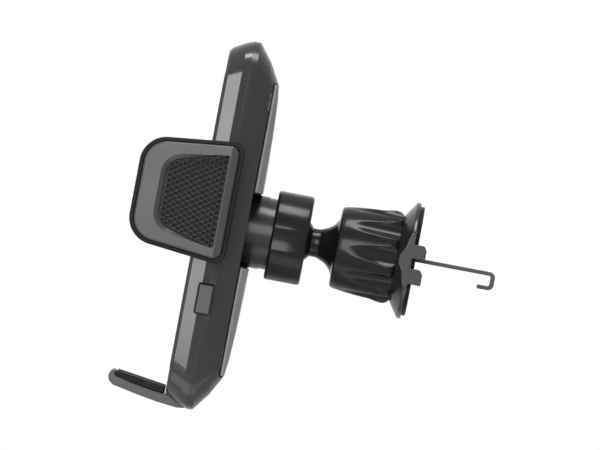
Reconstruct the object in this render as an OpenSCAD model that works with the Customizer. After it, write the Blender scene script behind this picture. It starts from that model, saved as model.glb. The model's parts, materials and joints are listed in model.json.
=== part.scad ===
// Phone holder for a car air vent: a sprung cradle on a ball joint, with a hook that a knob draws tight.
// The phone side faces -Y and the vent hook points to +Y. The origin is on the joint's axis,
// at the face of the rubber ring that rests on the vent.

/* [Body] */
// Width of the cradle body
body_w = 60; // [56:1:72]
// Height of the cradle body
body_h = 124; // [116:1:136]
// Depth of the front cover
front_depth = 7.7; // [7:0.1:9]
// Depth of the rear cover
rear_depth = 8.7; // [8.2:0.1:11]
// Corner radius of the covers, seen from the front
corner_r = 12.5; // [9:0.5:15]
// Wall of both covers
wall = 2; // [1.6:0.1:2.4]
// Thickness of the back panels
panel_t = 2.7; // [2:0.1:3.5]
// Dark groove under the back panels
panel_groove = 0.5; // [0.3:0.1:0.8]
// Thickness of the rubber pad on the front cover
front_pad_t = 1.2; // [0.8:0.1:1.6]

/* [Ball joint] */
// Diameter of the ball
ball_d = 17; // [16:0.5:18]
// Distance from the rear cover to the centre of the ball
ball_out = 14.9; // [14.5:0.1:17]
// Diameter of the collar behind the rear cover
boss_d = 24.4; // [24:0.1:26]
// Length of that collar
boss_l = 5.9; // [5:0.1:6.4]
// Diameter of the lock nut over its lobes
nut_d = 28.5; // [28:0.5:32]
// Length of the lock nut
nut_l = 12.1; // [11.6:0.1:13]
// Dark gap between the collar and the lock nut
nut_gap = 2.5; // [1.5:0.1:3]
// Number of lobes on the lock nut
nut_lobes = 4; // [3:1:6]
// Radius of the neck behind the ball
neck_r = 4.75; // [4:0.05:5]

/* [Knob] */
// Length of the ridged knob
knob_l = 20.3; // [18:0.1:24]
// Distance from the centre of the ball to the knob
neck_l = 15.5; // [14:0.1:18]
// Radius of the knob at its front edge
knob_front_r = 13; // [12:0.1:14]
// Radius of the knob at its rear edge
knob_rear_r = 15; // [14.4:0.1:16]
// Number of flutes round the knob
flutes = 10; // [8:1:12]
// Depth of a flute at the rear edge
flute_depth = 1.9; // [1:0.1:2.2]

/* [Vent base] */
// Depth of the base, with its rubber ring
base_l = 6; // [5:0.1:8]
// Thickness of the rubber ring
ring_t = 1.3; // [1:0.1:2]
// Radius of the base's rim
flange_r = 19.6; // [19:0.1:22]
// Width across the two flats of the base
base_flats = 32; // [30:0.5:34]
// Distance that the prongs stand out behind the rubber ring
prong_out = 3; // [2:0.1:4]
// Gap between the prongs, where a vent slat goes
slat_gap = 3.4; // [2.5:0.1:4]

/* [Hook] */
// Distance from the rubber ring to the end of the hook
hook_reach = 27.2; // [22:0.1:32]
// Thickness of the hook's steel strip
hook_t = 1.3; // [1:0.1:1.6]
// Width of the strip
hook_w = 11; // [9:0.5:12]
// Drop from the strip to its returned leg
hook_drop = 4.8; // [4.4:0.1:6]
// Length of the returned leg
hook_leg = 5.3; // [4.5:0.1:8]
// Distance that the knob draws the hook in
hook_travel = 6; // [4:0.5:6.5]
// Radius of the threaded shank
shank_r = 2.5; // [2.2:0.1:2.8]

/* [Arms] */
// Height of the arms' centre above the joint's axis
arm_z = 7.5; // [5:0.5:9]
// Distance that the arms reach in front of the body
arm_reach = 22.4; // [18:0.1:26]
// Distance that the arms lie over the sides of the body
arm_back = 11.3; // [10.8:0.1:12.5]
// Height of an arm at its front edge
arm_front_h = 36; // [32:0.5:40]
// Height of an arm at its rear edge
arm_rear_h = 40.6; // [38:0.1:44]
// Thickness of an arm
arm_t = 6.2; // [5:0.1:8]
// Distance that each arm slides out
arm_travel = 16; // [12:1:18]
// Module of the rack and pinion
gear_module = 1; // [0.9:0.05:1.1]
// Teeth on the pinion
pinion_teeth = 16; // [14:2:18]

/* [Foot] */
// Width of the foot
foot_w = 36; // [30:0.5:42]
// Distance that the foot reaches in front of the body
foot_reach = 19.7; // [16:0.1:24]
// Distance that the foot pulls down
foot_travel = 12; // [8:1:14]
// Gap between the two toes, for a charging plug
toe_gap = 12; // [8:0.5:14]

/* [Release button] */
// Height of the button, along the body's side
button_h = 10; // [8:0.5:12]
// Depth of the button, front to back
button_d = 5; // [4:0.1:5.2]
// Distance that the button goes in
button_travel = 1.5; // [1:0.1:1.8]

/* [Fits] */
// Clearance between parts that slide past each other
clear = 0.3; // [0.25:0.05:0.4]
// Radial clearance of a turning fit
fit = 0.08; // [0.04:0.01:0.1]

/* [Hidden] */
$fn = 96;
eps = 0.01;

// Stations along Y, from the rubber ring forward
turn_gap = 0.4;
knob_rear = -(base_l + turn_gap);
knob_front = knob_rear - knob_l;
ball_y = knob_front - neck_l;
back_y = ball_y - ball_out;
seam_y = back_y - rear_depth;
front_y = seam_y - front_depth;
nut_front = back_y + boss_l + nut_gap;
nut_rear = nut_front + nut_l;

// Ball joint
ball_r = ball_d / 2;
cup_t = 0.75;
cup_r = ball_r + fit + cup_t;
pocket_r = cup_r + clear;
boss_r = boss_d / 2;
thread_r = boss_r - 0.3;
collet_r = pocket_r + 0.5;
collet_front = ball_y + 0.4;
socket_rear = ball_y + 2.6;
mouth_r = 7.4;

// Arms and gears
side_x = body_w / 2;
arm_x0 = side_x + clear;
arm_x1 = arm_x0 + arm_t;
arm_corner = 9;
arm_rear_corner = 4;
rim_w = 1.5;
rim_step = 0.5;
pitch_r = gear_module * pinion_teeth / 2;
tooth_pitch = PI * gear_module;
addendum = 0.8 * gear_module;
dedendum = 1.1 * gear_module;
backlash = 0.3;
bar_t = 4.4;
bar_back = 4;
bar_y0 = seam_y - 2.6;
bar_y1 = bar_y0 + bar_t;
bar_in = 6;
bar_z0 = pitch_r + dedendum;
bar_z1 = bar_z0 + bar_back;
neck_z0 = -(pitch_r - addendum) + clear;
gear_t = bar_t - 0.4;
tip_r = pitch_r + addendum;
neck_x = tip_r + 1.4;
bar_tip_x = arm_travel + bar_in;
chassis_t = 1.5;
chassis_y = bar_y1 + clear;
axle_r = 2;

// Foot
foot_x = foot_w / 2;
stem_x = 12;
stem_t = 2.4;
stem_y = front_y + wall + clear + 0.6;
foot_z = -body_h / 2;
stem_top = foot_z + foot_travel + 20;

// Knob and base
flute_r = 5.2;
flute_start = 0.24;
insert_r = shank_r + 1.5;
hub_r = 8.5;
hub_l = 6;
hub_bore = shank_r + 0.2;
knob_bore_end = ball_y + ball_r + 3.2;
shank_front = knob_bore_end + hook_travel + 0.6;
hook_root = knob_rear - hub_l + hook_travel + clear;
strip_z = 0.6;

// Turns a shape's own Z to the Y axis and puts it at y
module on_y(y) { translate([0, y, 0]) rotate([-90, 0, 0]) children(); }

// Gives an outline in X and Z a depth from y0 to y1
module facing(y0, y1) { translate([0, y1, 0]) rotate([90, 0, 0]) linear_extrude(y1 - y0) children(); }

// Gives an outline in Y and Z a width from x0 to x1
module across(x0, x1) { translate([x0, 0, 0]) rotate([90, 0, 90]) linear_extrude(x1 - x0) children(); }

// A rectangle with round corners, by its half sizes
module rounded(half_w, half_h, r) { offset(r = r, $fn = 64) square([half_w - r, half_h - r] * 2,
    center = true); }

// A thin slice of a cover at y, smaller than the body by in_x at each side and in_z at each end
module slice(y, in_x, in_z) {
    facing(y, y + eps) rounded(side_x - in_x, body_h / 2 - in_z, max(corner_r - min(in_x, in_z), 3));
}

// Body covers
module front_shape() {
    hull() {
        slice(front_y, 1.6, 4.5);
        slice(front_y + 1, 0.4, 3.2);
        slice(front_y + front_depth * 0.7, 0, 0.8);
        slice(seam_y - eps, 1, 0);
    }
}
// The rear cover's ends rise past its flat back, so that the back panels end flush with them
end_rise = 1.6;
module rear_shape() {
    difference() {
        hull() {
            slice(seam_y, 1, 0);
            slice(seam_y + rear_depth * 0.24, 1.1, 0.1);
            slice(seam_y + rear_depth * 0.76, 2.8, 6);
            slice(back_y + end_rise - 0.4, 5.2, 12);
            slice(back_y + end_rise - eps, 5.9, 12.8);
        }
        translate([-side_x, back_y, -panel_out - 0.15]) cube([body_w, end_rise + 1, 2 * panel_out + 0.3]);
        for (x = [-1, 1], z = [-1, 1]) translate([x * (side_x - 5.1), back_y - 0.5,
            z * (panel_out - notch_h)])
            cube([2.4, 1.2, notch_h], center = true);
    }
}
// Slots for the clips of the back panels
notch_h = 6;
// Slots in both sides for the arms, in the foot's end for the foot, and on the right for the button
module side_slots() {
    translate([0, 0, arm_z]) for (turn = [0, 180]) rotate([0, turn, 0])
        translate([neck_x, bar_y0 - clear, neck_z0 - clear])
            cube([side_x, bar_t + 2 * clear, bar_z1 - neck_z0 + 2 * clear]);
}
module button_hole() { translate([side_x - 6, 0, 0]) across(0, 8) button_outline(clear); }
module front_cover() {
    color("#2b2c2e") difference() {
        front_shape();
        facing(front_y + wall, seam_y + 1) rounded(side_x - wall - 1.2, body_h / 2 - wall - 4,
            corner_r - wall);
        facing(front_y - 1, front_y + front_pad_t - 0.2) rounded(pad_x, pad_z, pad_corner);
        side_slots();
        button_hole();
        translate([-foot_x - clear, front_y - 1, foot_z - 1])
            cube([foot_w + 2 * clear, front_depth + 2, 1 + 4.6 + clear]);
        translate([-stem_x - clear, stem_y - clear, foot_z])
            cube([2 * (stem_x + clear), stem_t + 2 * clear, 12]);
    }
    color("#2b2c2e") for (s = [-1, 1]) translate([s * (stem_x + clear + 0.75) - 0.75, front_y + wall - eps,
        foot_z + 9])
        cube([1.5, front_depth - wall - 0.3, 20]);
}
pad_x = side_x - 6;
pad_z = body_h / 2 - 12;
pad_corner = 7;
module front_pad() {
    color("#17181a") facing(front_y - 0.2, front_y + front_pad_t - 0.2) rounded(pad_x - 0.05, pad_z - 0.05,
        pad_corner);
}
module rear_cover() {
    color("#242527") difference() {
        union() {
            difference() {
                rear_shape();
                facing(seam_y - 1, back_y - wall)
                    rounded(side_x - wall - 3.2, body_h / 2 - wall - 8, corner_r - wall - 2);
            }
            on_y(back_y - wall) cylinder(r = boss_r, h = wall + boss_l);
            on_y(back_y) cylinder(r = thread_r, h = socket_rear - back_y);
            for (x = [-1, 1], z = [-1, 1]) translate([x * post_x, 0, arm_z + z * post_z])
                on_y(chassis_y + chassis_t) cylinder(r = 2.6,
                    h = back_y - wall - chassis_y - chassis_t + eps);
        }
        translate([0, ball_y, 0]) sphere(r = pocket_r);
        on_y(ball_y) cylinder(r = collet_r, h = socket_rear - ball_y + 1);
        side_slots();
        button_hole();
        for (s = [0, 180]) rotate([0, s, 0]) panel_plug(0.05);
    }
}
post_x = side_x - 9;
post_z = bar_z1 + 5;

// Back panels
panel_in = 12.7;
panel_out = body_h / 2 - 13;
module panel_outline(inset) {
    offset(r = 1, $fn = 48) offset(delta = -1)
        translate([-side_x + 5.4 + inset, panel_in + inset])
            square([2 * (side_x - 5.4 - inset), panel_out - panel_in - 2 * inset]);
}
module panel_plug(loose) { facing(back_y - 0.8, back_y + panel_groove + eps) offset(delta = loose)
    panel_outline(1.6); }
module back_panel() {
    y0 = back_y + panel_groove;
    top = y0 + panel_t;
    intersection() {
        facing(y0, top + 1) panel_outline(0);
        across(-side_x, side_x) polygon([[y0, 0], [top, 0], [top - 0.15, panel_out * 0.45],
            [top - 0.5, panel_out * 0.7],
            [top - 1, panel_out - 5], [back_y + end_rise, panel_out], [y0, panel_out]]);
        linear_extrude(body_h / 2)
            polygon([[-side_x + 5.4, y0], [-side_x + 5.4, y0 + 0.7], [-side_x + 7.2, top - 0.4],
                [-side_x + 10, top],
                [side_x - 10, top], [side_x - 7.2, top - 0.4], [side_x - 5.4, y0 + 0.7],
                    [side_x - 5.4, y0]]);
    }
    panel_plug(0);
}
module back_panel_upper() { color("#303133") back_panel(); }
module back_panel_lower() { color("#303133") rotate([0, 180, 0]) back_panel(); }

// Chassis, pinion and racks
module chassis() {
    color("#3a3b3d") difference() {
        union() {
            facing(chassis_y, chassis_y + chassis_t) translate([0, arm_z]) rounded(post_x + 3, post_z + 3,
                3);
            for (s = [-1, 1]) translate([-post_x, bar_y0, arm_z + s * (bar_z1 + clear + 0.75) - 0.75])
                cube([2 * post_x, bar_t + clear + 0.1, 1.5]);
            translate([0, 0, arm_z]) on_y(bar_y0 + 0.4) cylinder(r = axle_r, h = chassis_y - bar_y0);
        }
        translate([0, 0, arm_z]) on_y(bar_y0) cylinder(r = 0.9, h = 4);
    }
}
// Half a tooth's angle at radius r, from the involute of a 20 degree tooth
base_r = pitch_r * cos(20);
function inv(a) = tan(a) - a * PI / 180;
function half_tooth(r) = 90 / pinion_teeth - backlash / 2 / pitch_r * 90 / PI
    + (inv(20) - (r > base_r ? inv(acos(base_r / r)) : 0)) * 180 / PI;
module pinion() {
    root_r = pitch_r - dedendum;
    steps = [0 : 4];
    radii = [for (i = steps) let (f = i / 4) (1 - f) * max(base_r, root_r) + f * tip_r];
    color("#d8d4c8") difference() {
        translate([0, 0, arm_z]) facing(bar_y0 + 0.2, bar_y0 + 0.2 + gear_t)
            polygon([for (t = [0 : pinion_teeth - 1])
            let (mid = 90 + t * 360 / pinion_teeth) each concat(
                [root_r * [cos(mid - half_tooth(base_r)), sin(mid - half_tooth(base_r))]],
                [for (r = radii) r * [cos(mid - half_tooth(r)), sin(mid - half_tooth(r))]],
                [for (i = [4 : -1 : 0]) radii[i] * [cos(mid + half_tooth(radii[i])),
                    sin(mid + half_tooth(radii[i]))]],
                [root_r * [cos(mid + half_tooth(base_r)), sin(mid + half_tooth(base_r))]])]);
        translate([0, 0, arm_z]) on_y(bar_y0) cylinder(r = axle_r + fit, h = bar_t + 1);
    }
}
module pinion_screw() {
    color("silver") translate([0, 0, arm_z]) {
        on_y(bar_y0 - 0.9) cylinder(r = 3.2, h = 0.9);
        on_y(bar_y0 - eps) cylinder(r = 0.9, h = 4);
        on_y(bar_y0 - eps) cylinder(r = axle_r, h = 0.4);
    }
}
// The rack bar and neck behind one arm, from the jaw to the bar's tip.
// Its own Z is counted from the arms' centre.
module rack() {
    half = tooth_pitch / 4 - backlash / 4;
    lean = tan(20);
    teeth = floor(arm_travel / tooth_pitch) + 1;
    facing(bar_y0, bar_y1) {
        translate([-bar_tip_x, bar_z0]) square([bar_tip_x + arm_x0, bar_back]);
        translate([neck_x, neck_z0]) square([arm_x0 - neck_x, bar_z1 - neck_z0]);
        for (k = [-teeth - 1 : 0]) translate([(k + 0.5) * tooth_pitch, pitch_r])
            polygon([[-half - dedendum * lean, dedendum + 0.1], [-half + addendum * lean, -addendum],
                [half - addendum * lean, -addendum], [half + dedendum * lean, dedendum + 0.1]]);
    }
}

// Arms. The outline is in Y and Z, counted from the body's front face and the arms' centre.
module arm_corners(inset) {
    front = -arm_reach + arm_corner;
    rear = arm_back - arm_rear_corner;
    hull() for (s = [-1, 1]) {
        translate([front, s * (arm_front_h / 2 - arm_corner)]) circle(arm_corner - inset, $fn = 64);
        translate([rear, s * (arm_rear_h / 2 - arm_rear_corner)]) circle(arm_rear_corner - inset, $fn = 48);
    }
}
inlay_r = 5;
inlay_rear_r = 0.6;
inlay_front = 9.6;
inlay_rear = 4.6;
inlay_front_h = 22.6;
inlay_rear_h = 30.8;
inlay_t = 0.8;
inlay_sunk = 1;
module inlay_corners(grow) {
    hull() for (s = [-1, 1]) {
        translate([-arm_reach + inlay_front + inlay_r, s * (inlay_front_h / 2 - inlay_r)])
            circle(inlay_r + grow, $fn = 48);
        translate([arm_back - inlay_rear - inlay_rear_r, s * (inlay_rear_h / 2 - inlay_rear_r)])
            circle(inlay_rear_r + min(grow, 0.1), $fn = 24);
    }
}
module arm_place() { translate([0, front_y, arm_z]) children(); }
module arm() {
    difference() {
        arm_place() hull() {
            across(arm_x0, arm_x1 - rim_step) arm_corners(rim_w);
            across(arm_x1 - eps, arm_x1) arm_corners(rim_w + 0.5);
        }
        arm_place() hull() {
            across(arm_x1 - inlay_sunk - inlay_t, arm_x1 - inlay_sunk) inlay_corners(0.05);
            across(arm_x1, arm_x1 + eps) inlay_corners(2);
        }
        arm_place() across(arm_x0 - 1, arm_x0 + 1) grip_outline(0.05);
    }
}
module arm_rim() {
    arm_place() difference() {
        across(arm_x0 + 0.3, arm_x1 - rim_step) arm_corners(0);
        across(arm_x0, arm_x1) arm_corners(rim_w);
    }
}
module arm_inlay() {
    arm_place() across(arm_x1 - inlay_sunk - inlay_t, arm_x1 - inlay_sunk) inlay_corners(0);
}
// The grip pad seats in the jaw's inner face and stands into the phone's space in front of the body
grip_t = 1.2;
module grip_outline(grow) {
    offset(r = 2 + grow, $fn = 32) translate([-arm_reach + 3 + 2, -arm_front_h / 2 + 6])
        square([arm_reach - 3 - 1 - 4, arm_front_h - 12]);
}
module grip_pad() {
    arm_place() across(arm_x0 - grip_t, arm_x0 + 1) grip_outline(0);
    arm_place() across(arm_x0 - grip_t - 1.3, arm_x0 - grip_t + eps)
        translate([-arm_reach + 3, -arm_front_h / 2 + 7]) square([2, arm_front_h - 14]);
}
// The left arm is the right one turned half way round the arms' centre, which its rack needs
module left() { translate([0, 0, arm_z]) rotate([0, 180, 0]) translate([0, 0, -arm_z]) children(); }
module rack_right() { color("#3a3b3d") translate([0, 0, arm_z]) rack(); }
module rack_left() { color("#3a3b3d") left() rack_right(); }
module arm_right() { color("#2b2c2e") arm(); }
module arm_left() { color("#2b2c2e") left() arm(); }
module arm_rim_right() { color("#101011") arm_rim(); }
module arm_rim_left() { color("#101011") left() arm_rim(); }
module arm_inlay_right() { color("#1a1b1c") arm_inlay(); }
module arm_inlay_left() { color("#1a1b1c") left() arm_inlay(); }
module grip_pad_right() { color("#17181a") grip_pad(); }
module grip_pad_left() { color("#17181a") left() grip_pad(); }

// Release button
button_z = -25;
button_y = front_y + 7;
flange_x = side_x - wall - 3.2 - clear;
module button_outline(grow) {
    offset(r = 0.7 + grow, $fn = 32) translate([button_y, button_z])
        square([button_d - 1.4, button_h - 1.4], center = true);
}
module release_button() {
    x1 = side_x + button_travel;
    color("#2f3032") {
        hull() {
            across(flange_x - 1, x1 - 0.5) button_outline(0);
            across(x1 - eps, x1) button_outline(-0.5);
        }
        across(flange_x - 1.5, flange_x) button_outline(1.3);
    }
}

// Foot. Its top rises towards the tip, and a low lip there stops the phone.
function foot_top(out) = foot_z + 3.5 + 0.08 * out + 0.0055 * out * out;
foot_step = 2.4;
module foot_profile() {
    z = foot_z;
    y = front_y;
    tip = foot_reach;
    polygon(concat([[y + 7.2, z + 0.1], [y + 4.5, z - 0.2], [y - 2.2, z + 0.5], [y - 9.3, z + 1.7],
        [y - tip + 2, z + 3.4], [y - tip + 0.5, z + 4.6], [y - tip, foot_top(tip) - 1],
            [y - tip + 0.6, foot_top(tip) + 0.9],
        [y - tip + 1.6, foot_top(tip) + 1], [y - tip + foot_step, foot_top(tip - foot_step)]],
        [for (k = [3 : -1 : 0]) let (out = k * (tip - foot_step) / 4) [y - out, foot_top(out)]],
            [[y + 7.2, foot_top(0)]]));
}
module foot() {
    color("#2b2c2e") difference() {
        union() {
            across(-foot_x, foot_x) foot_profile();
            translate([-stem_x, stem_y, foot_z + 2]) cube([2 * stem_x, stem_t, stem_top - foot_z - 2]);
        }
        translate([-toe_gap / 2, front_y - foot_reach - 1, foot_z - 2]) cube([toe_gap, foot_reach - 4, 14]);
    }
}
module foot_pad() {
    reach = foot_reach - foot_step;
    outs = [for (k = [0 : 4]) 0.6 + k * (reach - 0.6) / 4];
    across(toe_gap / 2 + 0.8, foot_x - 0.8) polygon(concat(
        [for (out = outs) [front_y - out, foot_top(out) + 0.02]],
        [for (k = [4 : -1 : 0]) [front_y - outs[k], foot_top(outs[k]) + 1]]));
}
module foot_pad_right() { color("#17181a") foot_pad(); }
module foot_pad_left() { color("#17181a") mirror([1, 0, 0]) foot_pad(); }

// Ball joint
module friction_cup() {
    color("#e8e6df") intersection() {
        translate([0, ball_y, 0]) difference() {
            sphere(r = cup_r);
            sphere(r = ball_r + fit);
        }
        on_y(ball_y - cup_r - 1) cylinder(r = cup_r + 1, h = cup_r * 0.45 + 1);
    }
}
module collet() {
    rear = nut_rear - 1.6;
    color("#1c1d1f") difference() {
        on_y(collet_front) rotate_extrude() polygon([[0, 0], [collet_r - fit, 0],
            [collet_r - fit, socket_rear - collet_front], [mouth_r + 0.4, rear - collet_front],
                [0, rear - collet_front]]);
        translate([0, ball_y, 0]) sphere(r = ball_r + fit);
        on_y(ball_y) cylinder(r = 7.6, h = 9);
    }
}
module lock_nut() {
    lobe_angle = 360 / nut_lobes;
    trough_r = 16;
    color("#2b2c2e") difference() {
        on_y(nut_front) rotate_extrude() polygon([[thread_r + fit, 0], [nut_d / 2 - 1.6, 0],
            [nut_d / 2 - 0.6, 0.5],
            [nut_d / 2, 1.7], [nut_d / 2, nut_l - 1], [nut_d / 2 - 0.9, nut_l], [mouth_r, nut_l],
            [mouth_r + 0.8, nut_l - 1.2], [collet_r + 0.35, socket_rear - nut_front + 0.3],
            [thread_r + fit, socket_rear - nut_front + 0.3]]);
        for (k = [0 : nut_lobes - 1]) rotate([0, k * lobe_angle + 94, 0])
            translate([0, 0, nut_d / 2 + trough_r - 0.9]) on_y(nut_front - 1)
                cylinder(r = trough_r, h = nut_l + 2);
    }
}

// Knob with the ball
module ball_knob() {
    rr = knob_rear_r;
    fr = knob_front_r;
    n = neck_l;
    flute_lean = atan((fr + (rr - fr) * flute_start * 1.7 - rr + flute_depth)
        / (knob_l * (1 - flute_start)));
    color("#29292b") difference() {
        union() {
            translate([0, ball_y, 0]) sphere(r = ball_r);
            on_y(ball_y) rotate_extrude() polygon([[0, 0], [neck_r, 0], [neck_r, n - 6.6],
                [neck_r + 0.2, n - 5.6],
                [neck_r + 0.55, n - 4.8], [neck_r + 1.25, n - 3.3], [neck_r + 2.25, n - 2],
                    [neck_r + 3.85, n - 0.8],
                [neck_r + 5.2, n - 0.3], [fr - 0.9, n - 0.1], [fr - 0.2, n + 0.2], [fr, n + 0.8],
                [fr + (rr - fr) * 0.4, n + knob_l * 0.2], [fr + (rr - fr) * 0.65, n + knob_l * 0.36],
                [fr + (rr - fr) * 0.9, n + knob_l * 0.65], [rr, n + knob_l - 0.6], [rr - 0.5, n + knob_l],
                [0, n + knob_l]]);
        }
        for (k = [0 : flutes - 1]) rotate([0, k * 360 / flutes, 0])
            translate([0, knob_rear, rr - flute_depth + flute_r]) rotate([90 - flute_lean, 0, 0])
                cylinder(r = flute_r, h = knob_l * 1.2, center = true);
        on_y(knob_bore_end) cylinder(r = shank_r + 0.4, h = -knob_bore_end);
        on_y(knob_rear - hub_l - clear - 6) cylinder(r = insert_r, h = hub_l + 20);
        on_y(knob_rear - hub_l - clear) cylinder(r = hub_r + fit, h = hub_l + 10);
    }
}
module thread_insert() {
    color("#b79a55") difference() {
        on_y(knob_rear - hub_l - clear - 6) cylinder(r = insert_r, h = 6);
        on_y(knob_rear - hub_l - clear - 7) cylinder(r = shank_r + fit, h = 8);
    }
}

// Vent base
module base_flange() {
    l = base_l - ring_t;
    color("#303133") difference() {
        union() {
            intersection() {
                on_y(-base_l) rotate_extrude() polygon([[0, 0], [flange_r - 5, 0], [flange_r, l - 1.3],
                    [flange_r, l - 0.3], [flange_r - 0.3, l], [0, l]]);
                facing(-base_l - 1, prong_out + 1) square([base_flats, 3 * flange_r], center = true);
            }
            on_y(knob_rear - hub_l) cylinder(r = hub_r, h = hub_l + turn_gap + 1);
            for (s = [-1, 1]) translate([s * (base_flats / 2 - 1.5), 0, 0]) {
                across(-1.5, 1.5) polygon([[-ring_t - eps, 0.9], [prong_out, 0.9], [prong_out, 4],
                    [prong_out - 0.9, 5.6],
                    [-ring_t - eps, 5.6]]);
                across(-1.5, 1.5) polygon([[-ring_t - eps, 0.9 - slat_gap], [prong_out - 1, 0.9 - slat_gap],
                    [prong_out, -0.6 - slat_gap], [prong_out, -7.7], [-ring_t - eps, -7.7]]);
            }
        }
        on_y(knob_rear - hub_l - 1) cylinder(r = hub_bore, h = 30);
        translate([-hook_w / 2 - 0.2, knob_rear - hub_l - 1, strip_z - hook_t / 2 - 0.2])
            cube([hook_w + 0.4, 30, hook_t + 0.4]);
    }
}
module base_ring() {
    color("#121213") difference() {
        facing(-ring_t, 0) intersection() {
            circle(flange_r - 1.2);
            square([base_flats - 6, 3 * flange_r], center = true);
        }
        on_y(-ring_t - 1) cylinder(r = hub_r, h = ring_t + 2);
    }
}

// Hook
module hook_shank() {
    color("silver") difference() {
        on_y(shank_front) cylinder(r = shank_r, h = hook_root + 5 - shank_front);
        translate([-hook_w, hook_root, strip_z - hook_t / 2]) cube([2 * hook_w, 6, hook_t]);
        translate([0, hook_root + 2.5, -5]) cylinder(r = 1, h = 10);
    }
}
module hook_strip() {
    y0 = hook_root;
    y1 = hook_reach;
    t = hook_t;
    r = 2;
    drop = hook_drop;
    color("#8c8e92") difference() {
        across(-hook_w / 2, hook_w / 2) translate([0, strip_z + t / 2]) difference() {
            union() {
                translate([y0, -t]) square([y1 - r - y0, t]);
                translate([y1 - r, -r]) circle(r);
                translate([y1 - t, -drop - t + r]) square([t, drop + t - 2 * r]);
                translate([y1 - r, -drop - t + r]) circle(r);
                translate([y1 - hook_leg, -drop - t]) square([hook_leg - r, t]);
            }
            hull() {
                translate([y1 - r, -r]) circle(r - t);
                translate([y1 - r, -drop - t + r]) circle(r - t);
                translate([y1 - hook_leg - 5, -drop]) square([1, drop - t]);
            }
        }
        translate([0, y0 + 2.5, -5]) cylinder(r = 1, h = 10);
    }
}
module hook_rivet() {
    h = 2 * sqrt(shank_r * shank_r - 1.44);
    color("silver") translate([0, hook_root + 2.5, -h / 2]) cylinder(r = 1, h = h);
}

rear_cover();
front_cover();
front_pad();
back_panel_upper();
back_panel_lower();
chassis();
pinion();
pinion_screw();
rack_right();
rack_left();
arm_right();
arm_left();
arm_rim_right();
arm_rim_left();
arm_inlay_right();
arm_inlay_left();
grip_pad_right();
grip_pad_left();
release_button();
foot();
foot_pad_right();
foot_pad_left();
friction_cup();
collet();
lock_nut();
ball_knob();
thread_insert();
base_flange();
base_ring();
hook_shank();
hook_strip();
hook_rivet();
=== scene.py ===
import json
import math

import bmesh
import bpy
import numpy as np
from mathutils import Matrix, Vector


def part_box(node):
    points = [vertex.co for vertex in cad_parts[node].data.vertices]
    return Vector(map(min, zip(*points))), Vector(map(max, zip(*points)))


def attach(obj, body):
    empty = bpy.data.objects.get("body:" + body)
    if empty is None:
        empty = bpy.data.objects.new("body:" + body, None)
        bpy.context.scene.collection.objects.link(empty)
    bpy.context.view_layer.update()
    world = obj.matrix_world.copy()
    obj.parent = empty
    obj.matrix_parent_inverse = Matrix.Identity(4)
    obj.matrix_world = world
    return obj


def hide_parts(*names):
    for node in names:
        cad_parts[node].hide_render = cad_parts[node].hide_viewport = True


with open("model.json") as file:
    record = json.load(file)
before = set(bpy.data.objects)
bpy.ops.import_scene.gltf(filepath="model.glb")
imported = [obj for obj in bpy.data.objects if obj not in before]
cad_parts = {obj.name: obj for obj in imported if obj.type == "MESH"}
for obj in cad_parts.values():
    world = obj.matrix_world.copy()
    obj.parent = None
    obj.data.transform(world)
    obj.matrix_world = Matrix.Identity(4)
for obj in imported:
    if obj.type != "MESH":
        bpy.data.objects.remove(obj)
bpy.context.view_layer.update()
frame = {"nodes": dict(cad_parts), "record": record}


# Shader node groups

def new_group(name, inputs, outputs):
    """An empty shader node group with the named sockets, and its input and output nodes."""
    group = bpy.data.node_groups.new(name, "ShaderNodeTree")
    for label, kind, default in inputs:
        socket = group.interface.new_socket(label, in_out="INPUT", socket_type=kind)
        if default is not None:
            socket.default_value = default
    for label, kind in outputs:
        group.interface.new_socket(label, in_out="OUTPUT", socket_type=kind)
    return group, group.nodes.new("NodeGroupInput"), group.nodes.new("NodeGroupOutput")


def moulded_grain_group():
    """Fine spark-eroded grain of moulded plastic: two noises of different size, as a normal and a roughness."""
    group, given, out = new_group(
        "moulded_grain",
        [("Scale", "NodeSocketFloat", 2600.0), ("Depth", "NodeSocketFloat", 0.12),
         ("Smoothest", "NodeSocketFloat", 0.3), ("Roughest", "NodeSocketFloat", 0.45)],
        [("Normal", "NodeSocketVector"), ("Roughness", "NodeSocketFloat")],
    )
    nodes, links = group.nodes, group.links
    place = nodes.new("ShaderNodeTexCoord")
    fine = nodes.new("ShaderNodeTexNoise")
    fine.inputs["Detail"].default_value = 3.0
    broad = nodes.new("ShaderNodeTexNoise")
    broad.inputs["Scale"].default_value = 38.0
    broad.inputs["Detail"].default_value = 2.0
    bump = nodes.new("ShaderNodeBump")
    bump.inputs["Distance"].default_value = 0.00006
    spread = nodes.new("ShaderNodeMapRange")
    spread.inputs["From Min"].default_value = 0.3
    spread.inputs["From Max"].default_value = 0.7
    links.new(place.outputs["Object"], fine.inputs["Vector"])
    links.new(place.outputs["Object"], broad.inputs["Vector"])
    links.new(given.outputs["Scale"], fine.inputs["Scale"])
    links.new(given.outputs["Depth"], bump.inputs["Strength"])
    links.new(fine.outputs["Fac"], bump.inputs["Height"])
    links.new(broad.outputs["Fac"], spread.inputs["Value"])
    links.new(given.outputs["Smoothest"], spread.inputs["To Min"])
    links.new(given.outputs["Roughest"], spread.inputs["To Max"])
    links.new(bump.outputs["Normal"], out.inputs["Normal"])
    links.new(spread.outputs["Result"], out.inputs["Roughness"])
    return group


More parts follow.
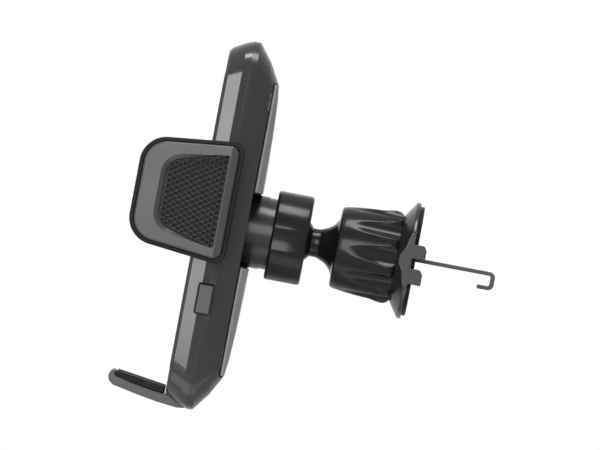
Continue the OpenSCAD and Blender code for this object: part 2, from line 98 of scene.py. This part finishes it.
def handled_tone_group():
    """Slow unevenness in the plastic's tone, as handling and moulding leave it."""
    group, given, out = new_group(
        "handled_tone",
        [("Colour", "NodeSocketColor", (0.05, 0.05, 0.05, 1)), ("Lighter", "NodeSocketColor", (0.06, 0.06, 0.06, 1)),
         ("Scale", "NodeSocketFloat", 60.0)],
        [("Colour", "NodeSocketColor")],
    )
    nodes, links = group.nodes, group.links
    place = nodes.new("ShaderNodeTexCoord")
    cloud = nodes.new("ShaderNodeTexNoise")
    cloud.inputs["Detail"].default_value = 5.0
    mix = nodes.new("ShaderNodeMix")
    mix.data_type = "RGBA"
    links.new(place.outputs["Object"], cloud.inputs["Vector"])
    links.new(given.outputs["Scale"], cloud.inputs["Scale"])
    links.new(cloud.outputs["Fac"], mix.inputs["Factor"])
    links.new(given.outputs["Colour"], mix.inputs["A"])
    links.new(given.outputs["Lighter"], mix.inputs["B"])
    links.new(mix.outputs["Result"], out.inputs["Colour"])
    return group


def pit_shade_group():
    """Painted shade in a pitted rubber skin: darkens it by its depth, Object X without its sign, between the pits and
    the web.
    """
    group, given, out = new_group(
        "pit_shade",
        [("Pit shade", "NodeSocketColor", (0.01, 0.01, 0.01, 1)), ("Web", "NodeSocketColor", (0.1, 0.1, 0.1, 1)),
         ("Deep", "NodeSocketFloat", 0.035), ("High", "NodeSocketFloat", 0.0355)],
        [("Colour", "NodeSocketColor")],
    )
    nodes, links = group.nodes, group.links
    place = nodes.new("ShaderNodeTexCoord")
    parts = nodes.new("ShaderNodeSeparateXYZ")
    across = nodes.new("ShaderNodeMath")
    across.operation = "ABSOLUTE"
    depth = nodes.new("ShaderNodeMapRange")
    mix = nodes.new("ShaderNodeMix")
    mix.data_type = "RGBA"
    links.new(place.outputs["Object"], parts.inputs["Vector"])
    links.new(parts.outputs["X"], across.inputs[0])
    links.new(across.outputs[0], depth.inputs["Value"])
    links.new(given.outputs["Deep"], depth.inputs["From Min"])
    links.new(given.outputs["High"], depth.inputs["From Max"])
    links.new(depth.outputs["Result"], mix.inputs["Factor"])
    links.new(given.outputs["Pit shade"], mix.inputs["A"])
    links.new(given.outputs["Web"], mix.inputs["B"])
    links.new(mix.outputs["Result"], out.inputs["Colour"])
    return group


GRAIN = moulded_grain_group()
TONE = handled_tone_group()
PIT_SHADE = pit_shade_group()


# Sizes taken from the fixed model, in millimetres

MM = 0.001
INLAY_LOW, INLAY_TOP = (np.array(corner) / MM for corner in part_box("arm_inlay_right"))
INLAY_HIGH = INLAY_TOP[0] - 0.08
INLAY_DEEP = INLAY_HIGH - 0.5


# Materials

def moulded(name, grey, smoothest, roughest, depth=0.12, grain=2600.0, coat=0.0, specular=0.25):
    """A dark moulded plastic or rubber: its grey, its range of roughness, and the depth and size of its grain."""
    material = bpy.data.materials.new(name)
    material.use_nodes = True
    nodes, links = material.node_tree.nodes, material.node_tree.links
    shader = nodes["Principled BSDF"]
    shader.inputs["Specular IOR Level"].default_value = specular
    shader.inputs["Coat Weight"].default_value = coat
    shader.inputs["Coat Roughness"].default_value = 0.12
    tone = nodes.new("ShaderNodeGroup")
    tone.node_tree = TONE
    tone.inputs["Colour"].default_value = (*[0.88 * c for c in grey], 1)
    tone.inputs["Lighter"].default_value = (*[1.15 * c for c in grey], 1)
    surface = nodes.new("ShaderNodeGroup")
    surface.node_tree = GRAIN
    surface.inputs["Scale"].default_value = grain
    surface.inputs["Depth"].default_value = depth
    surface.inputs["Smoothest"].default_value = smoothest
    surface.inputs["Roughest"].default_value = roughest
    links.new(tone.outputs["Colour"], shader.inputs["Base Color"])
    links.new(surface.outputs["Normal"], shader.inputs["Normal"])
    links.new(surface.outputs["Roughness"], shader.inputs["Roughness"])
    return material


def pitted(name, deep, high):
    """Rubber with a pressed-in pattern, with painted shade that darkens its pits at |x| = deep, and lighter on the
    web at |x| = high.
    """
    material = moulded(name, (0.05, 0.05, 0.05), 0.34, 0.42, depth=0.05, specular=0.15)
    nodes, links = material.node_tree.nodes, material.node_tree.links
    tone = nodes.new("ShaderNodeGroup")
    tone.node_tree = PIT_SHADE
    # The pit colour is painted shade, darker than the web's own colour.
    tone.inputs["Pit shade"].default_value = (0.004, 0.004, 0.004, 1)
    tone.inputs["Web"].default_value = (0.018, 0.018, 0.018, 1)
    tone.inputs["Deep"].default_value = deep
    tone.inputs["High"].default_value = high
    links.new(tone.outputs["Colour"], nodes["Principled BSDF"].inputs["Base Color"])
    return material


def brushed(name, colour, roughness, stretch):
    """Brushed metal: a noise stretched along the brushing, which sets the roughness and a faint bump."""
    material = bpy.data.materials.new(name)
    material.use_nodes = True
    nodes, links = material.node_tree.nodes, material.node_tree.links
    shader = nodes["Principled BSDF"]
    shader.inputs["Base Color"].default_value = (*colour, 1)
    shader.inputs["Metallic"].default_value = 1.0
    place = nodes.new("ShaderNodeTexCoord")
    stretched = nodes.new("ShaderNodeMapping")
    stretched.inputs["Scale"].default_value = stretch
    lines = nodes.new("ShaderNodeTexNoise")
    lines.inputs["Scale"].default_value = 1.0
    lines.inputs["Detail"].default_value = 4.0
    rough = nodes.new("ShaderNodeMapRange")
    rough.inputs["To Min"].default_value = roughness - 0.08
    rough.inputs["To Max"].default_value = roughness + 0.12
    bump = nodes.new("ShaderNodeBump")
    bump.inputs["Strength"].default_value = 0.15
    bump.inputs["Distance"].default_value = 0.00004
    links.new(place.outputs["Object"], stretched.inputs["Vector"])
    links.new(stretched.outputs["Vector"], lines.inputs["Vector"])
    links.new(lines.outputs["Fac"], rough.inputs["Value"])
    links.new(lines.outputs["Fac"], bump.inputs["Height"])
    links.new(rough.outputs["Result"], shader.inputs["Roughness"])
    links.new(bump.outputs["Normal"], shader.inputs["Normal"])
    return material


FINISHES = {
    "cover_front": moulded("satin front shell", (0.018, 0.0176, 0.0176), 0.13, 0.18, specular=0.4),
    "cover_rear": moulded("glossy rear shell", (0.021, 0.0205, 0.0205), 0.19, 0.25, depth=0.05, specular=0.25),
    "panel": moulded("satin back panel", (0.14, 0.14, 0.14), 0.34, 0.44),
    "arm_plastic": moulded("satin arm plastic", (0.042, 0.042, 0.042), 0.26, 0.34),
    "soft_rubber": moulded("soft black rubber", (0.004, 0.004, 0.004), 0.4, 0.5, depth=0.1, specular=0.1),
    # The inlay's pits are darkened by painted shade.
    "inlay_rubber": pitted("dimpled inlay rubber", INLAY_DEEP * MM, INLAY_HIGH * MM),
    "joint_plastic": moulded("glossy joint plastic", (0.005, 0.005, 0.005), 0.17, 0.23, depth=0.04, specular=0.17),
    "base_plastic": moulded("satin base plastic", (0.012, 0.012, 0.012), 0.18, 0.23, specular=0.33),
    "inner_plastic": moulded("natural slide plastic", (0.62, 0.6, 0.55), 0.4, 0.5),
    "inner_dark": moulded("dark inner plastic", (0.03, 0.03, 0.032), 0.4, 0.5),
    "steel": brushed("brushed hook steel", (0.045, 0.046, 0.047), 0.5, (900, 60, 900)),
    "brass": brushed("turned insert brass", (0.62, 0.47, 0.22), 0.3, (400, 2000, 400)),
}
SLOT_OF = {part["node"]: part["material_slot"] for part in frame["record"]["subparts"]}


# Pieces from the fixed model, with their moulded edges rounded

JAW_FALL, RIM_STEP = 1.3, 1.2


def fall_behind_inlay(work, side):
    """Lowers a jaw's face behind its inlay in a straight slope, by JAW_FALL at the jaw's rear edge."""
    top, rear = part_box("arm_right")[1][0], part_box("arm_right")[1][1]
    start = (INLAY_TOP[1] + 0.4) * MM
    bmesh.ops.bisect_plane(work, geom=work.verts[:] + work.edges[:] + work.faces[:], dist=0.02 * MM,
                           plane_co=(0, start, 0), plane_no=(0, 1, 0))
    for vert in work.verts:
        if side * vert.co.x > top - RIM_STEP * MM and vert.co.y > start + 1e-6:
            vert.co.x -= side * JAW_FALL * MM * (vert.co.y - start) / (rear - start)
    bmesh.ops.remove_doubles(work, verts=work.verts, dist=0.02 * MM)


def softened(node, body, edge):
    """The solid's own faces with each edge over 32 degrees rounded off by edge millimetres."""
    solid = frame["nodes"][node]
    mesh = bpy.data.meshes.new(node + "_soft")
    work = bmesh.new()
    work.from_mesh(solid.data)
    bmesh.ops.remove_doubles(work, verts=work.verts, dist=2e-6)
    if node in ("arm_right", "arm_left"):
        fall_behind_inlay(work, 1 if node == "arm_right" else -1)
    bmesh.ops.dissolve_limit(work, angle_limit=math.radians(1.0), verts=work.verts, edges=work.edges)
    work.to_mesh(mesh)
    work.free()
    mesh.materials.clear()
    mesh.materials.append(FINISHES[SLOT_OF[node]])
    piece = bpy.data.objects.new(node + "_soft", mesh)
    bpy.context.collection.objects.link(piece)
    mesh.shade_smooth()
    mesh.set_sharp_from_angle(angle=math.radians(32))
    if edge:
        bevel = piece.modifiers.new("rounded edges", "BEVEL")
        bevel.width = edge * MM
        bevel.segments = 2
        bevel.limit_method = "ANGLE"
        bevel.angle_limit = math.radians(32)
        bevel.harden_normals = True
    even = piece.modifiers.new("even shading", "WEIGHTED_NORMAL")
    even.keep_sharp = True
    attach(piece, body)
    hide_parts(node)
    return piece


BODY_OF = {node: body for body, nodes in frame["record"]["behaviour"]["bodies"].items() for node in nodes}
EDGES = {
    "rear_cover": 0.2, "front_cover": 0.2, "front_pad": 0.3, "back_panel_upper": 0.25, "back_panel_lower": 0.25,
    "arm_right": 0.1, "arm_left": 0.1, "arm_rim_right": 0.4, "arm_rim_left": 0.4, "release_button": 0,
    "foot": 0.3, "base_ring": 0.2, "hook_strip": 0.12,
    "grip_pad_right": 0.2, "grip_pad_left": 0.2,
}
for name, solid in frame["nodes"].items():
    solid.data.materials.clear()
    solid.data.materials.append(FINISHES[SLOT_OF[name]])
for name, edge in EDGES.items():
    softened(name, BODY_OF[name], edge)


# Dimpled inlays of the arms

INLAY_Z = (INLAY_LOW[2] + INLAY_TOP[2]) / 2
INLAY_FRONT, INLAY_REAR = INLAY_LOW[1] + 0.02, INLAY_TOP[1] - 0.02
INLAY_R = 5.0
INLAY_REAR_HALF = (INLAY_TOP[2] - INLAY_LOW[2]) / 2 - 0.02
INLAY_FRONT_HALF = INLAY_REAR_HALF - 4.1
PITCH_ACROSS, PITCH_ALONG = 1.45, 1.9


def inlay_half_height(y):
    """Half the inlay's height at y: a quarter round at the front corner, then a straight line to the rear corner."""
    centre = INLAY_FRONT + INLAY_R
    tilt = math.atan2(INLAY_REAR_HALF - INLAY_FRONT_HALF, INLAY_REAR - centre)
    touch = centre - INLAY_R * math.sin(tilt)
    round_part = INLAY_FRONT_HALF - INLAY_R + np.sqrt(np.clip(INLAY_R ** 2 - (y - centre) ** 2, 0, None))
    at_touch = INLAY_FRONT_HALF - INLAY_R + INLAY_R * math.cos(tilt)
    return np.where(y < touch, round_part, at_touch + (y - touch) * math.tan(tilt))


def inlay(side):
    """The rubber skin in one arm, as a grid over its outline.

    Each pit is an oval bowl, deep at its middle by one less its squared distance, in columns along the rear
    edge that are staggered by half a pitch. The bowls fade out by the outline, and a wall and a flat back
    close the skin."""
    along, up = 116, 176
    u = np.linspace(0, 1, along + 1)[:, None]
    v = np.linspace(-1, 1, up + 1)[None, :]
    y = INLAY_FRONT + (1 - np.cos(u * math.pi / 2) ** 1.4) * (INLAY_REAR - INLAY_FRONT) + 0 * v
    z = v * inlay_half_height(y)
    column = np.round((INLAY_REAR - 0.85 - y) / PITCH_ACROSS)
    off_y = INLAY_REAR - 0.85 - y - column * PITCH_ACROSS
    shifted = z + (column % 2) * PITCH_ALONG / 2
    off_z = shifted - np.round(shifted / PITCH_ALONG) * PITCH_ALONG
    bowl = np.clip(1 - (off_y / (0.47 * PITCH_ACROSS)) ** 2 - (off_z / (0.44 * PITCH_ALONG)) ** 2, 0, 1) ** 0.6
    rim = np.minimum.reduce([(y - INLAY_FRONT) / 0.5, (INLAY_REAR - y) / 0.3, (1 - abs(v)) * inlay_half_height(y) / 0.5])
    x = INLAY_HIGH - (INLAY_HIGH - INLAY_DEEP) * bowl * np.clip(rim, 0, 1)
    top = np.stack([x, y, z + INLAY_Z], -1).reshape(-1, 3)
    index = np.arange((along + 1) * (up + 1)).reshape(along + 1, up + 1)
    faces = np.stack([index[:-1, :-1], index[1:, :-1], index[1:, 1:], index[:-1, 1:]], -1).reshape(-1, 4).tolist()
    loop = np.concatenate([index[:-1, 0], index[-1, :-1], index[:0:-1, -1], index[0, :0:-1]])
    base = len(top) + np.arange(len(loop))
    under = top[loop].copy()
    under[:, 0] = INLAY_LOW[0] + 0.02
    faces += [[int(base[i]), int(base[(i + 1) % len(loop)]), int(loop[(i + 1) % len(loop)]), int(loop[i])]
              for i in range(len(loop))]
    faces.append([int(i) for i in base[::-1]])
    points = np.concatenate([top, under])
    if side < 0:
        points = points * [-1, 1, -1] + [0, 0, 2 * INLAY_Z]
    node = "arm_inlay_right" if side > 0 else "arm_inlay_left"
    mesh = bpy.data.meshes.new(node + "_skin")
    mesh.from_pydata((points * MM).tolist(), [], faces)
    mesh.materials.append(FINISHES[SLOT_OF[node]])
    mesh.shade_smooth()
    mesh.set_sharp_from_angle(angle=math.radians(60))
    piece = bpy.data.objects.new(node + "_skin", mesh)
    bpy.context.collection.objects.link(piece)
    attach(piece, BODY_OF[node])
    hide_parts(node)


inlay(1)
inlay(-1)


# Turned pieces of the joint: knob, lock nut and base

AROUND = 400
TURN = np.linspace(0, 2 * math.pi, AROUND, endpoint=False)[None, :]


def smooth_curve(points, step):
    """Points about step apart on the cubic curve through the given ones.

    The curve is a Hermite cubic by chord length, and its slope at each given point is that of the parabola
    through the point and its neighbours."""
    given = np.array(points, float)
    length = np.concatenate([[0], np.cumsum(np.linalg.norm(np.diff(given, axis=0), axis=1))])
    slope = np.gradient(given, length, axis=0)
    place = np.linspace(0, length[-1], int(length[-1] / step) + 1)
    i = np.clip(np.searchsorted(length, place, "right") - 1, 0, len(length) - 2)
    span = (length[i + 1] - length[i])[:, None]
    u = (place - length[i])[:, None] / span
    return ((1 + 2 * u) * (1 - u) ** 2 * given[i] + u * (1 - u) ** 2 * span * slope[i]
            + u ** 2 * (3 - 2 * u) * given[i + 1] - u ** 2 * (1 - u) * span * slope[i + 1])


def grooved(radius, groove_r, axis_r, count, phase, soft):
    """The radius round the axis once count round grooves are cut into it.

    A groove is a cylinder of radius groove_r whose axis lies axis_r out, so at the angle a from its middle
    the cut is axis_r cos a - sqrt(groove_r^2 - (axis_r sin a)^2). The lesser of the cut and the radius is
    taken, rounded over by soft."""
    pitch = 2 * math.pi / count
    angle = (TURN - phase + pitch / 2) % pitch - pitch / 2
    inside = groove_r ** 2 - (axis_r * np.sin(angle)) ** 2
    cut = np.where(inside > 0, axis_r * np.cos(angle) - np.sqrt(np.maximum(inside, 0)), radius + 9.0)
    blend = np.maximum(soft - np.abs(radius - cut), 0)
    return np.minimum(radius, cut) - blend ** 2 / (4 * soft)


def turned(node, name, radius, y, ends_joined, half_width=None):
    """A closed skin through rings about the joint's axis.

    Row i of radius and y gives ring i, with x = radius sin(turn) and z = radius cos(turn). The last ring
    meets the first one where ends_joined is set, and otherwise both shrink to a point. A half_width cuts
    the skin flat on both sides, by holding x within it."""
    rows = len(radius)
    x = radius * np.sin(TURN)
    if half_width:
        x = np.clip(x, -half_width, half_width)
    points = np.stack([x, y + 0 * x, radius * np.cos(TURN)], -1).reshape(-1, 3)
    index = np.arange(rows * AROUND).reshape(rows, AROUND)
    below = index if ends_joined else index[:-1]
    above = np.roll(index, -1, 0) if ends_joined else index[1:]
    faces = np.stack([below, np.roll(below, -1, 1), np.roll(above, -1, 1), above], -1).reshape(-1, 4)
    return closed_skin(node, name, points, faces.tolist())


def closed_skin(node, name, points, faces, sharp=50):
    """A piece of points in millimetres and faces, with its doubles merged and its faces turned outwards."""
    mesh = bpy.data.meshes.new(name)
    mesh.from_pydata((points * MM).tolist(), [], faces)
    work = bmesh.new()
    work.from_mesh(mesh)
    bmesh.ops.remove_doubles(work, verts=work.verts, dist=1e-6)
    bmesh.ops.recalc_face_normals(work, faces=work.faces)
    work.to_mesh(mesh)
    work.free()
    mesh.materials.append(FINISHES[SLOT_OF[node]])
    mesh.shade_smooth()
    mesh.set_sharp_from_angle(angle=math.radians(sharp))
    piece = bpy.data.objects.new(name, mesh)
    bpy.context.collection.objects.link(piece)
    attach(piece, BODY_OF[node])
    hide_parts(node)
    return piece


def prism(node, name, outline, low, high, edge):
    """A block between two values of x whose outline is given as points of y and z, with rounded edges."""
    count = len(outline)
    ring = np.array(outline, float)
    points = np.concatenate([np.column_stack([np.full(count, x), ring]) for x in (low, high)])
    faces = [[i, (i + 1) % count, (i + 1) % count + count, i + count] for i in range(count)]
    faces += [list(range(count)), list(range(count, 2 * count))]
    piece = closed_skin(node, name, points, faces, sharp=32)
    bevel = piece.modifiers.new("rounded edges", "BEVEL")
    bevel.width = edge * MM
    bevel.segments = 2
    bevel.harden_normals = True
    return piece


BALL_Y, KNOB_REAR, HUB_R = -42.2, -6.4, 8.5
BALL_R, NECK_R, KNOB_L, NECK_L = 8.5, 4.75, 20.3, 15.5
KNOB_FRONT_R, KNOB_REAR_R = 13.6, 15.1
FLUTES, FLUTE_R, FLUTE_DEPTH, FLUTE_SLOPE = 10, 4.2, 1.7, 0.055


def knob():
    """Ball, neck and fluted skirt in one turned skin.

    The ball is a half circle, and one smooth curve runs on over the neck, the crown and the skirt. Ten
    flutes lean out of the skirt towards the crown, so each one narrows and fades there. The rear face and
    the stepped bore close the skin."""
    neck_angle = math.pi - math.asin(NECK_R / BALL_R)
    ball = np.linspace(0, neck_angle, 26)[:-1]
    n, end = NECK_L, NECK_L + KNOB_L
    widening = KNOB_REAR_R - KNOB_FRONT_R
    side = smooth_curve([
        (-BALL_R * math.cos(neck_angle), NECK_R), (n - 6.6, NECK_R), (n - 5.6, 4.95), (n - 4.8, 5.3), (n - 3.3, 6.0),
        (n - 2, 7.0), (n - 0.8, 8.6), (n - 0.3, 9.95), (n - 0.1, KNOB_FRONT_R - 0.9), (n + 0.2, KNOB_FRONT_R - 0.2),
        (n + 0.8, KNOB_FRONT_R), (n + 0.2 * KNOB_L, KNOB_FRONT_R + 0.4 * widening),
        (n + 0.36 * KNOB_L, KNOB_FRONT_R + 0.65 * widening), (n + 0.65 * KNOB_L, KNOB_FRONT_R + 0.9 * widening),
        (end - 0.6, KNOB_REAR_R), (end, KNOB_REAR_R - 0.5)], 0.36)
    y = np.concatenate([BALL_Y - BALL_R * np.cos(ball), BALL_Y + side[:, 0]])[:, None]
    radius = np.concatenate([BALL_R * np.sin(ball), side[:, 1]])[:, None]
    axis_r = KNOB_REAR_R - FLUTE_DEPTH + FLUTE_R + FLUTE_SLOPE * (KNOB_REAR - y)
    outer = grooved(radius + 0 * TURN, FLUTE_R, axis_r, FLUTES, math.pi / FLUTES, 0.45)
    outer = np.where(y > BALL_Y + n, outer, radius)
    bore = np.array([(HUB_R + 0.08, KNOB_REAR), (HUB_R + 0.08, -12.7), (4.0, -12.7), (4.0, -18.7), (2.9, -18.7),
                     (2.9, -30.5), (0, -30.5)])
    turned("ball_knob", "ball_knob_turned", np.concatenate([outer, bore[:, :1] + 0 * TURN]),
           np.concatenate([y, bore[:, 1:]]), False)


NUT_R, NUT_FRONT, NUT_L, TROUGH_R, TROUGH_DEPTH = 15.25, -48.7, 12.1, 16.0, 0.9
COLLET_BORE, SOCKET_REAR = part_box("collet")[1][0] / MM + 0.43, 9.4


def lock_nut():
    """The nut's turned section, with four shallow round troughs down its side."""
    section = np.array([
        (11.98, 0), (13.2, 0), (NUT_R - 0.75, 0), (NUT_R - 0.35, 0.15), (NUT_R - 0.1, 0.45), (NUT_R, 0.95),
        (NUT_R, NUT_L / 2), (NUT_R, NUT_L - 1.0), (NUT_R - 0.12, NUT_L - 0.5), (NUT_R - 0.4, NUT_L - 0.15),
        (NUT_R - 0.85, NUT_L), (13.0, NUT_L), (7.4, NUT_L), (8.2, NUT_L - 1.2), (COLLET_BORE, SOCKET_REAR),
        (11.98, SOCKET_REAR)])
    radius, y = section[:, :1] + 0 * TURN, section[:, 1:] + NUT_FRONT
    drop = NUT_R - grooved(NUT_R + 0 * TURN, TROUGH_R, NUT_R - TROUGH_DEPTH + TROUGH_R, 4, math.radians(94), 0.3)
    outer = (section[:, :1] > NUT_R - 1)
    turned("lock_nut", "lock_nut_turned", radius - outer * drop, y, True)


FLANGE_R, BASE_HALF, BASE_FRONT, RING_FACE = 19.6, 17.2, -6.0, -1.3
HUB_BORE, SLOT_HALF_W, SLOT_LOW, SLOT_HIGH = 2.7, 5.7, -0.25, 1.45


def vent_base():
    """The base: hub and cone as one turned skin, cut flat on both sides, with lugs and prongs on the flats.

    The bore is a circle joined with the slot for the hook's strip: at the angle a from +Z its radius is the
    greater of the circle's and of the least of half the slot's width over |sin a| and its height over
    |cos a|."""
    up = np.where(np.cos(TURN) > 0, SLOT_HIGH, -SLOT_LOW)
    slot = np.minimum(SLOT_HALF_W / np.maximum(abs(np.sin(TURN)), 1e-6), up / np.maximum(abs(np.cos(TURN)), 1e-6))
    bore = np.maximum(HUB_BORE, slot)
    rows = [(HUB_R, KNOB_REAR - 6), (HUB_R, BASE_FRONT - 0.37), (14.2, BASE_FRONT - 0.37), (FLANGE_R - 5, BASE_FRONT)]
    rows += [(FLANGE_R - 5 + 5 * u, BASE_FRONT + 3.4 * u) for u in np.linspace(0.02, 0.97, 40)]
    rows += [(FLANGE_R - 0.05, RING_FACE - 1.15), (FLANGE_R, RING_FACE - 0.9), (FLANGE_R, RING_FACE - 0.4),
             (FLANGE_R - 0.1, RING_FACE - 0.1), (FLANGE_R - 0.4, RING_FACE)]
    rows = np.array(rows)
    radius = np.concatenate([bore, rows[:, :1] + 0 * TURN, bore])
    y = np.concatenate([[[KNOB_REAR - 6]], rows[:, 1:], [[RING_FACE]]])
    turned("base_flange", "base_turned", radius, y, True, BASE_HALF)
    lug = [(-5.6, -1.3), (-3.6, -5.1), (-2.8, -6.6), (RING_FACE, -7.7),
           (RING_FACE, 7.7), (-2.8, 6.6), (-3.6, 5.1), (-5.6, 1.3)]
    upper = [(RING_FACE - 0.3, 0.9), (3.0, 0.9), (3.0, 4.0), (2.1, 5.6), (RING_FACE - 0.3, 5.6)]
    lower = [(RING_FACE - 0.3, -2.5), (2.0, -2.5), (3.0, -4.0), (3.0, -7.7), (RING_FACE - 0.3, -7.7)]
    for side, word in ((1, "right"), (-1, "left")):
        low, high = sorted((side * 14.2, side * (BASE_HALF + 0.05)))
        for part, outline in (("lug", lug), ("upper_prong", upper), ("lower_prong", lower)):
            prism("base_flange", f"base_{part}_{word}", outline, low, high, 0.25)


knob()
lock_nut()
vent_base()


# Pads of the foot, and near-black sheets of painted shade in the joints under the back panels

PAD_LOW, PAD_TOP = (np.array(corner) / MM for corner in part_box("foot_pad_right"))


def foot_pads():
    """A rubber pad on each toe: it follows the toe's curve below, and its top rises straight to the tip."""
    near, far = PAD_TOP[1], PAD_LOW[1]
    out = np.linspace(near, far, 9)
    toe = PAD_LOW[2] + 0.08 * (near - out) + 0.0055 * (near - out) ** 2
    outline = [(y, z) for y, z in zip(out, toe)] + [(far, toe[-1] + 1.9), (near, toe[0] + 2.4)]
    prism("foot_pad_right", "foot_pad_right_wedge", outline, PAD_LOW[0], PAD_TOP[0], 0.3)
    prism("foot_pad_left", "foot_pad_left_wedge", outline, -PAD_TOP[0], -PAD_LOW[0], 0.3)


def panel_gap_shade(node):
    """A near-black sheet of painted shade that fills the joint under and round a back panel.

    It is the panel's own form, set 0.5 mm deeper, 0.6 mm longer at each end and 3 percent narrower."""
    solid = frame["nodes"][node]
    mesh = bpy.data.meshes.new(node + "_gap_shade")
    work = bmesh.new()
    work.from_mesh(solid.data)
    bmesh.ops.remove_doubles(work, verts=work.verts, dist=2e-6)
    work.to_mesh(mesh)
    work.free()
    low, high = (np.array(corner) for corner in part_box(node))
    points = np.empty(len(mesh.vertices) * 3)
    mesh.vertices.foreach_get("co", points)
    points = points.reshape(-1, 3)
    middle, length = (low[2] + high[2]) / 2, high[2] - low[2]
    points = points * [0.97, 1, 1 + 1.2 * MM / length] - [0, 0.5 * MM, middle * 1.2 * MM / length]
    mesh.vertices.foreach_set("co", points.ravel())
    mesh.materials.clear()
    # Its near-black rubber finish is painted shade in the panel's joint.
    mesh.materials.append(FINISHES["soft_rubber"])
    piece = bpy.data.objects.new(node + "_gap_shade", mesh)
    bpy.context.collection.objects.link(piece)
    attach(piece, BODY_OF[node])


foot_pads()
panel_gap_shade("back_panel_upper")
panel_gap_shade("back_panel_lower")


# Camera, light and floor

PX_PER_MM = 2.997
DISTANCE = 3000.0
ROLL = math.radians(10.7)
LOOK_AT_Y, LOOK_AT_Z = -39.94, 4.91


def add_camera():
    """A long lens square to the cradle's side, rolled so that the cradle leans back."""
    data = bpy.data.cameras.new("camera")
    data.sensor_width = 36.0
    data.lens = PX_PER_MM * data.sensor_width * DISTANCE / 600
    data.clip_end = 20
    camera = bpy.data.objects.new("camera", data)
    right = (0, math.cos(ROLL), math.sin(ROLL))
    up = (0, -math.sin(ROLL), math.cos(ROLL))
    out = (1, 0, 0)
    place = (DISTANCE * MM, LOOK_AT_Y * MM, LOOK_AT_Z * MM)
    camera.matrix_world = Matrix([[right[i], up[i], out[i], place[i]] for i in range(3)] + [[0, 0, 0, 1]])
    bpy.context.collection.objects.link(camera)
    bpy.context.scene.camera = camera


def add_softbox(name, place, size, power, aim=(0, -0.035, 0.0)):
    """A rectangular studio light at place, turned to aim."""
    data = bpy.data.lights.new(name, "AREA")
    data.shape = "RECTANGLE"
    data.size, data.size_y = size
    data.energy = power
    light = bpy.data.objects.new(name, data)
    toward = np.array(place, float) - np.array(aim, float)
    toward /= np.linalg.norm(toward)
    side = np.cross((0, 0, 1), toward)
    side /= np.linalg.norm(side)
    over = np.cross(toward, side)
    light.matrix_world = Matrix([[side[i], over[i], toward[i], place[i]] for i in range(3)] + [[0, 0, 0, 1]])
    light.visible_camera = False
    bpy.context.collection.objects.link(light)


def seen_as_white(nodes):
    """A value of 1 where the ray comes from the camera, a mirror or glass."""
    rays = nodes.new("ShaderNodeLightPath")
    first = nodes.new("ShaderNodeMath")
    first.operation = "MAXIMUM"
    second = nodes.new("ShaderNodeMath")
    second.operation = "MAXIMUM"
    links = nodes.id_data.links
    links.new(rays.outputs["Is Camera Ray"], first.inputs[0])
    links.new(rays.outputs["Is Glossy Ray"], first.inputs[1])
    links.new(first.outputs[0], second.inputs[0])
    links.new(rays.outputs["Is Transmission Ray"], second.inputs[1])
    return second.outputs[0]


def add_world():
    """White where it is seen or mirrored, and a softer light elsewhere."""
    world = bpy.data.worlds.new("studio")
    bpy.context.scene.world = world
    world.use_nodes = True
    nodes, links = world.node_tree.nodes, world.node_tree.links
    back = nodes["Background"]
    back.inputs["Color"].default_value = (1, 1, 1, 1)
    strength = nodes.new("ShaderNodeMapRange")
    strength.inputs["To Min"].default_value = 0.2
    strength.inputs["To Max"].default_value = 1.0
    links.new(seen_as_white(nodes), strength.inputs["Value"])
    links.new(strength.outputs["Result"], back.inputs["Strength"])


def add_floor():
    """A plain pale disc below the holder, which takes its shadow in the other views."""
    radius, depth, count = 1.0, -0.16, 96
    turn = np.linspace(0, 2 * math.pi, count, endpoint=False)
    rim = np.stack([radius * np.cos(turn), radius * np.sin(turn) - 0.035, np.full(count, depth)], 1)
    mesh = bpy.data.meshes.new("floor")
    mesh.from_pydata(rim.tolist(), [], [list(range(count))])
    floor = bpy.data.objects.new("floor", mesh)
    bpy.context.collection.objects.link(floor)
    material = bpy.data.materials.new("pale floor")
    material.use_nodes = True
    material.node_tree.nodes["Principled BSDF"].inputs["Base Color"].default_value = (0.9, 0.9, 0.9, 1)
    material.node_tree.nodes["Principled BSDF"].inputs["Roughness"].default_value = 0.7
    mesh.materials.append(material)


add_camera()
add_softbox("key", (1.15, -0.3, 0.22), (0.55, 0.6), 10)
add_softbox("top", (0.3, -0.1, 1.07), (0.6, 0.42), 12.5)
add_softbox("low", (0.07, -0.03, -0.15), (0.3, 0.1), 0.14)
add_world()
add_floor()
bpy.context.scene.view_settings.view_transform = "Standard"
